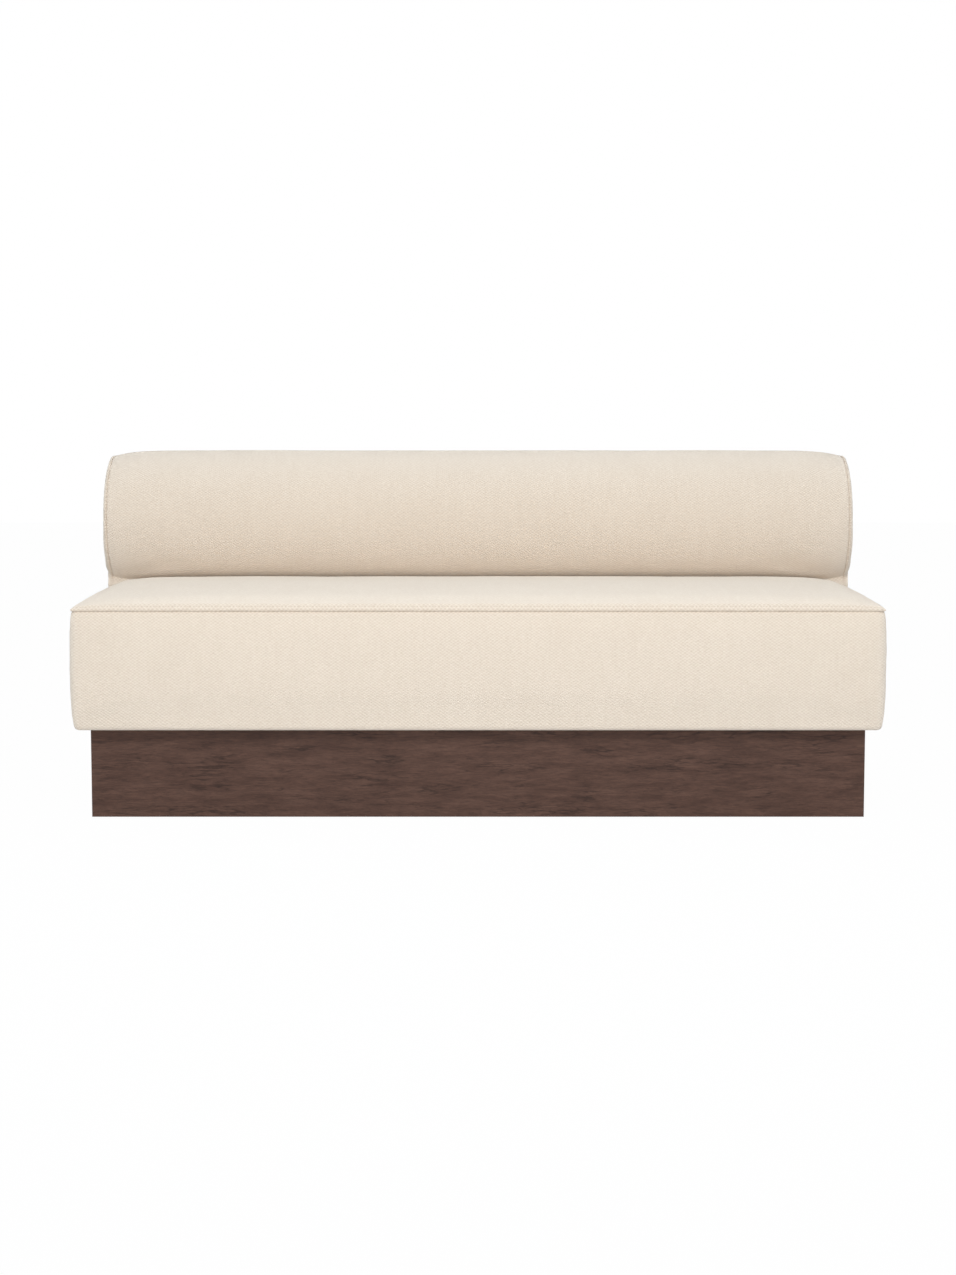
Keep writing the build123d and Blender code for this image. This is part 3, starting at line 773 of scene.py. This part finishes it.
def back_wrap(material):
    half = [(x, 0.0) for x in between(0, WRAP_END[0][0], WRAP_STEP)]
    half += zip(*refined(WRAP_END))
    stations = [(-x, inset) for x, inset in reversed(half[1:])] + half
    along = run_along(back_outline(0))
    points, uvs, seam = [], [], []
    for x, inset in stations:
        for (y, z), s in zip(back_outline(inset), along):
            points.append((x, y, z))
            uvs.append((x, s))
            # The notch counts as a seam: the cloth holds still there, and the shader paints shade
            # into the crease
            seam.append(min(BACK_HALF - abs(x) - WRAP_HELD, along[-1] - s,
                            abs(s - along[NOTCH_POINT]) + NOTCH_FREE))
    faces = grid_faces(len(stations), len(along))
    return add_piece("back_wrap", points, faces, uvs, seam, material)


def panel_relief(x, z):
    """X of an end panel's points after its relief, which goes by their height."""
    puffed = np.clip((x - BACK_HALF) / PUFF_DEPTH, 0, 1)
    # Flatter beside the bolster's middle
    middle = smooth_step((z - 530) / 60) * (1 - smooth_step((z - 712) / 22))
    x = x - PANEL_FLATTER * puffed * middle
    # Fuller at the neck, and drawn in below it
    x = x + (PANEL_FULLER * puffed * np.exp(-((z - 486) / 13) ** 2)
             - PANEL_DRAWN_IN * puffed * smooth_step((466 - z) / 14))
    # Nearly flat at the foot
    low = smooth_step((444 - z) / 16)
    return x + (PANEL_FOOT_X - x) * low * np.where(x > PANEL_FOOT_X, 1.0, FOOT_SHARE)


def end_panel(side, name, material):
    """P-shaped pillow: rings that follow the end seam inwards, evened out in the middle."""
    insets, outs = refined(PANEL_RINGS)
    rings = []
    for inset, x in zip(insets, outs):
        outline = back_outline(inset)
        foot = np.linspace(outline[-1], outline[0], FOOT_STEPS + 1)[1:-1]
        ring = np.vstack([outline, foot])
        rings.append(np.column_stack([np.full(len(ring), x), ring]))
    edge = rings[-1]
    spine = np.column_stack([np.full(len(edge), PANEL_MIDDLE), np.full(len(edge), SPINE_Y),
                             np.clip(edge[:, 2], *SPINE_Z)])
    grid = np.array(rings + [edge + (spine - edge) * share for share in SPINE_SHARES])
    rows, cols = grid.shape[:2]
    held = len(insets) - EVENED_RINGS
    for _ in range(EVENING_ROUNDS):
        around = np.roll(grid, 1, 1) + np.roll(grid, -1, 1)
        evened = (grid[held - 1:-2] + grid[held + 1:] + around[held:-1]) / 4
        grid[held:-1] += 0.5 * (evened - grid[held:-1])
    grid[..., 0] = panel_relief(grid[..., 0], grid[..., 2])
    away = np.maximum(insets - SEAM_INSET, 0.0) * (np.arange(len(insets)) >= SEAM_RINGS)
    away = np.append(away, np.full(rows - len(insets), away[-1]))
    places = grid.reshape(-1, 3)
    faces = grid_faces(rows, cols, wrap=True)
    if side < 0:
        faces = [face[::-1] for face in faces]
    seam = np.repeat(away, cols)
    return add_piece(name, places * (side, 1, 1), faces, places[:, 1:], seam, material)


# Stuffing: closed pads are blown up by a cloth simulation and take their covers along

PAD_VOXEL = 0.009  # metres
PAD_FRAMES = 20
PAD_PRESSURE = 4.0
PAD_MASS = 3
PAD_STIFF = 25
PAD_BEND = 0.5
# Millimetres: how much smaller a pad starts, and the most that a point moves
PAD_SHRINK = 1.0
PAD_MOST = 3.0
# Millimetres from a seam: held still up to here, pinned, and free after so many more
HELD_NEAR = 3
PINNED_NEAR = 5
FREE_AFTER = 32
# A pad's point this many metres from its covers lies on a cap and is pinned, as if past a seam
CAP_GAP = 0.02
PAST_SEAM = -9.0
# A cover's point moves as its nearest pad points do, weighted by distance in metres
CARRY_POINTS = 14
CARRY_SPREAD = 0.011
# Corners of the back's sole
SOLE = ((-820, 143), (820, 143), (820, 343), (-820, 343))
SOLE_Z = 430
ROLL_FOOT = 5  # the seat's rear cap begins this high over the seam


def pad_caps(border, top):
    """Faces that close the seat's pad below, behind and over the rear, and the back's below."""
    lower, upper = mesh_vectors(border.data), mesh_vectors(top.data)
    hem = lower[:int(np.argmax(lower[:, 2] != lower[0, 2]))]
    rearmost = upper[:, 1].max() - 1e-5
    rear = sorted(tuple(v) for v in upper if v[1] > rearmost and v[2] > (SEAM_Z + ROLL_FOOT) * MM)
    x, y, y_rear, z = HALF_WIDTH * MM, rear[0][1], HALF_DEPTH * MM, SEAM_Z * MM
    behind = rear + [(x, y, z), (-x, y, z)]
    shelf = [(-x, y, z), (x, y, z), (x, y_rear, z), (-x, y_rear, z)]
    return [hem, behind, shelf], [[(px * MM, py * MM, SOLE_Z * MM) for px, py in SOLE]]


def closed_pad(name, covers, caps):
    """One closed, evenly meshed pad from its covers and the faces that close their open sides."""
    points, faces = [], []
    for cover in covers:
        base = len(points)
        points += [tuple(v.co) for v in cover.data.vertices]
        faces += [[base + i for i in face.vertices] for face in cover.data.polygons]
    for cap in caps:
        base = len(points)
        points += [tuple(p) for p in cap]
        faces.append(list(range(base, len(points))))
    mesh = bpy.data.meshes.new(name)
    mesh.from_pydata(points, [], faces)
    pad = bpy.data.objects.new(name, mesh)
    bpy.context.scene.collection.objects.link(pad)
    remesh = pad.modifiers.new("even", "REMESH")
    remesh.mode = "VOXEL"
    remesh.voxel_size = PAD_VOXEL
    evened = pad.evaluated_get(bpy.context.evaluated_depsgraph_get())
    pad.data = bpy.data.meshes.new_from_object(evened)
    pad.modifiers.clear()
    return pad


def point_tree(places):
    tree = KDTree(len(places))
    for i, place in enumerate(places):
        tree.insert(place, i)
    tree.balance()
    return tree


def freedom(seam):
    """How free the cloth is to swell, from 0 at a seam to 1 well away from it."""
    return smooth_step((seam - HELD_NEAR) / FREE_AFTER)[:, None]


def start_pad(name, covers, caps):
    """A slightly smaller pad with its sewn points pinned and Cloth on, and its rest places."""
    pad = closed_pad(name, covers, caps)
    rest, normal = mesh_vectors(pad.data), mesh_vectors(pad.data, "normal")
    tree = point_tree(np.vstack([mesh_vectors(cover.data) for cover in covers]))
    seams = np.concatenate([seam_distances(cover.data) for cover in covers])
    nearest = [tree.find(place) for place in rest]
    seam = np.array([PAST_SEAM if gap > CAP_GAP else seams[i] for _, i, gap in nearest])
    start = rest - normal * (PAD_SHRINK * MM * freedom(seam))
    pad.data.vertices.foreach_set("co", start.ravel())
    pins = pad.vertex_groups.new(name="sewn")
    pins.add([i for i in range(len(seam)) if seam[i] < PINNED_NEAR], 1.0, "REPLACE")
    cloth = pad.modifiers.new("stuffing", "CLOTH")
    settings = cloth.settings
    settings.quality = 5
    settings.mass = PAD_MASS
    settings.tension_stiffness = settings.compression_stiffness = PAD_STIFF
    settings.shear_stiffness = PAD_STIFF / 3
    settings.bending_stiffness = PAD_BEND
    settings.vertex_group_mass = "sewn"
    settings.use_pressure = True
    settings.uniform_pressure_force = PAD_PRESSURE
    settings.effector_weights.gravity = 0
    cloth.collision_settings.use_collision = False
    cloth.point_cache.frame_start, cloth.point_cache.frame_end = 1, PAD_FRAMES
    return pad, rest


def carry(cover, tree, move):
    """Move a cover's points as the pad's points near them moved, and less near a seam."""
    place = mesh_vectors(cover.data)
    shift = np.zeros_like(place)
    for i, spot in enumerate(place):
        found = tree.find_n(spot, CARRY_POINTS)
        weight = np.array([math.exp(-(gap / CARRY_SPREAD) ** 2) for _, _, gap in found])
        shift[i] = weight @ move[[k for _, k, _ in found]] / max(weight.sum(), 1e-12)
    set_places(cover.data, place + shift * freedom(seam_distances(cover.data)))


def stuff(jobs):
    """Cloth simulation: each job has a name, covers and caps. No pad and no Cloth is left."""
    pads = [start_pad(*job) for job in jobs]
    for number in range(1, PAD_FRAMES + 1):
        bpy.context.scene.frame_set(number)
    depsgraph = bpy.context.evaluated_depsgraph_get()
    for (_, covers, _), (pad, rest) in zip(jobs, pads):
        move = mesh_vectors(pad.evaluated_get(depsgraph).data) - rest
        length = np.maximum(np.linalg.norm(move, axis=1), 1e-9) / MM
        move *= (PAD_MOST * np.tanh(length / PAD_MOST) / length)[:, None]
        tree = point_tree(rest)
        for cover in covers:
            carry(cover, tree, move)
        bpy.data.objects.remove(pad)
    bpy.context.scene.frame_set(1)


# Hidden soft pieces: webbing and dust cover

STRAP_WIDTH = 62
STRAP_THICKNESS = 1.5
LONG_STRAPS, CROSS_STRAPS = 11, 3
LONG_STEPS, CROSS_STEPS = 40, 220
LONG_LIFT, CROSS_LIFT = 1.9, 1.6  # over the lowest point of the CAD straps
STRAP_END = 0.03  # share of a strap that lies level on a rail
SAG, SAG_MOST, SAG_SHARE = 2.2, 1.7, 0.6
WEAVE_HEIGHT, WEAVE_FADE = 1.75, 60
LINING_INSET = 1
LINING_STEPS = (120, 46)
LINING_DROP, LINING_FADE = 2.4, 90
LINING_GAP = 0.2  # under the CAD cloth's upper face
UNEVEN_DROP, UNEVEN_WAVES = 0.5, 0.012
STAPLE_PITCH, STAPLE_WAVE, STAPLE_FADE = 42, 0.25, 14


def box_mm(node):
    """Lowest and highest corner of a CAD node, in millimetres."""
    return [[value / MM for value in corner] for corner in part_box(node)]


def strap_mesh(name, straps, material):
    """Flat bands that follow lines of points, each with half its width as a direction."""
    points, faces = [], []
    for line, across in straps:
        base = len(points)
        for p in line:
            for side, lift in ((-1, 0), (1, 0), (1, STRAP_THICKNESS), (-1, STRAP_THICKNESS)):
                points.append(np.array(p) + np.array(across) * side + np.array((0, 0, lift)))
        faces += grid_faces(len(line), 4, wrap=True, base=base)
        end = len(points) - 4
        faces += [(base + 3, base + 2, base + 1, base), (end, end + 1, end + 2, end + 3)]
    points = np.array(points)
    return add_piece(name, points, faces, points[:, :2], np.full(len(points), FAR_FROM_SEAM),
                     material)


def webbing(material):
    """Straps front to back, and straps that weave over and under them."""
    half = STRAP_WIDTH / 2
    (x0, y0, bottom), (x1, y1, _) = box_mm("webbing_front_to_back")
    xs = np.linspace(x0 + half, x1 - half, LONG_STRAPS)
    long_straps, cross_straps = [], []
    for x in xs:
        line = []
        for t in np.linspace(0, 1, LONG_STEPS + 1):
            free = min(max((t - STRAP_END) / (1 - 2 * STRAP_END), 0), 1)
            sag = SAG * math.sin(math.pi * free)
            z = bottom + LONG_LIFT - min(sag, SAG_MOST) * SAG_SHARE
            line.append((x, y0 + (y1 - y0) * t, z))
        long_straps.append((line, (half, 0, 0)))
    (x0, y0, _), (x1, y1, _) = box_mm("webbing_side_to_side")
    for row, y in enumerate(np.linspace(y0 + half, y1 - half, CROSS_STRAPS)):
        line = []
        for x in np.linspace(x0, x1, CROSS_STEPS + 1):
            phase = (x - xs[0]) / (xs[1] - xs[0])
            wave = math.cos(math.pi * phase) * (1 if row % 2 == 0 else -1)
            inside = min(1.0, min(x - x0, x1 - x) / WEAVE_FADE)
            line.append((x, y, bottom + CROSS_LIFT + WEAVE_HEIGHT * wave * inside))
        cross_straps.append((line, (0, half, 0)))
    return (strap_mesh("webbing_long", long_straps, material),
            strap_mesh("webbing_cross", cross_straps, material))


def lining(material):
    """Dust cover held flat under the frame, sagging a little between its staples."""
    (x0, y0, _), (x1, y1, top_z) = box_mm("dust_cover")
    xs = np.linspace(x0 + LINING_INSET, x1 - LINING_INSET, LINING_STEPS[0] + 1)
    ys = np.linspace(y0 + LINING_INSET, y1 - LINING_INSET, LINING_STEPS[1] + 1)
    points = []
    for y in ys:
        for x in xs:
            edge = min(x - xs[0], xs[-1] - x, y - ys[0], ys[-1] - y)
            tight = STAPLE_WAVE * math.cos(2 * math.pi * (x + y) / STAPLE_PITCH)
            tight *= math.exp(-edge / STAPLE_FADE)
            drop = LINING_DROP * (1 - math.exp(-edge / LINING_FADE))
            drop += UNEVEN_DROP * noise.noise(Vector((x, y, 0)) * UNEVEN_WAVES)
            points.append((x, y, top_z - LINING_GAP - max(drop, 0) + tight))
    points = np.array(points)
    faces = [face[::-1] for face in grid_faces(len(ys), len(xs))]
    piece = add_piece("dust_lining", points, faces, points[:, :2],
                      np.full(len(points), FAR_FROM_SEAM), material)
    return piece


# Scene

add_camera()
make_world()
make_floor()
for lamp in LAMPS:
    add_area(*lamp)
bpy.context.scene.view_settings.view_transform = "Standard"

fabric = woven_fabric("beige_weave", (0.940, 0.848, 0.728), (0.734, 0.615, 0.490))
oak_long = stained_oak("stained_oak_long", True)
oak_side = stained_oak("stained_oak_side", False)
birch = plywood("birch_plywood")
steel = zinc_steel("zinc_steel")
plastic = moulded_plastic("glide_plastic", (0.04, 0.035, 0.03))
web_cloth = plain_weave("elastic_webbing", (0.05, 0.05, 0.05), 0.004)
dust_cloth = plain_weave("dust_cloth", (0.03, 0.03, 0.03), 0.0024)

border, top, wrap = seat_border(fabric), seat_top(fabric), back_wrap(fabric)
left_end = end_panel(-1, "back_end_left", fabric)
right_end = end_panel(1, "back_end_right", fabric)
seat_caps, back_caps = pad_caps(border, top)
stuff([("seat_pad", (border, top), seat_caps),
       ("back_pad", (wrap, left_end, right_end), back_caps)])
for piece, swell, pucker in ((border, 0.45, 0.22), (top, 0.7, 0.3), (wrap, 0.6, 0.3),
                             (left_end, 0.45, 0.25), (right_end, 0.45, 0.25)):
    soften(piece, swell, pucker)
stitches = top_stitches(top, sewing_thread("seat_thread", (0.74, 0.63, 0.50)))
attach(stitches, "root")
pads = [
    (border, 0.9, ("seat_border_cover", "seat_front_pad", "seat_rear_pad", "seat_left_pad",
                   "seat_right_pad")),
    (top, 0.85, ("seat_top_cover", "seat_topper", "seat_foam_core")),
    (wrap, 0.9, ("back_cover", "bolster_foam", "neck_foam", "back_top_foam", "back_rear_foam")),
    (left_end, 0.85, ("back_end_covers", "back_end_foams")),
    (right_end, 0.85, ("back_end_covers", "back_end_foams")),
]
for piece, fill, nodes in pads:
    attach(piece, "root")
    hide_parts(*nodes)
for piece, node in zip(webbing(web_cloth), ("webbing_front_to_back", "webbing_side_to_side")):
    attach(piece, "root")
    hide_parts(node)
cover = lining(dust_cloth)
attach(cover, "root")
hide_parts("dust_cover")

EASED_EDGE = 0.0008
finishes = {"frame_plywood": birch, "zinc_steel": steel, "glide_plastic": plastic,
            "stained_oak": oak_long}
for part in frame["record"]["subparts"]:
    node = frame["nodes"][part["node"]]
    if node.hide_render or part["material_slot"] not in finishes:
        continue
    finish = finishes[part["material_slot"]]
    if part["node"] in ("plinth_left_panel", "plinth_right_panel"):
        finish = oak_side
    node.data.materials.clear()
    node.data.materials.append(finish)
    if part["material_slot"] in ("stained_oak", "frame_plywood"):
        bevel = node.modifiers.new("eased_edges", "BEVEL")
        bevel.width = EASED_EDGE
        bevel.segments = 2
        bevel.limit_method = "ANGLE"
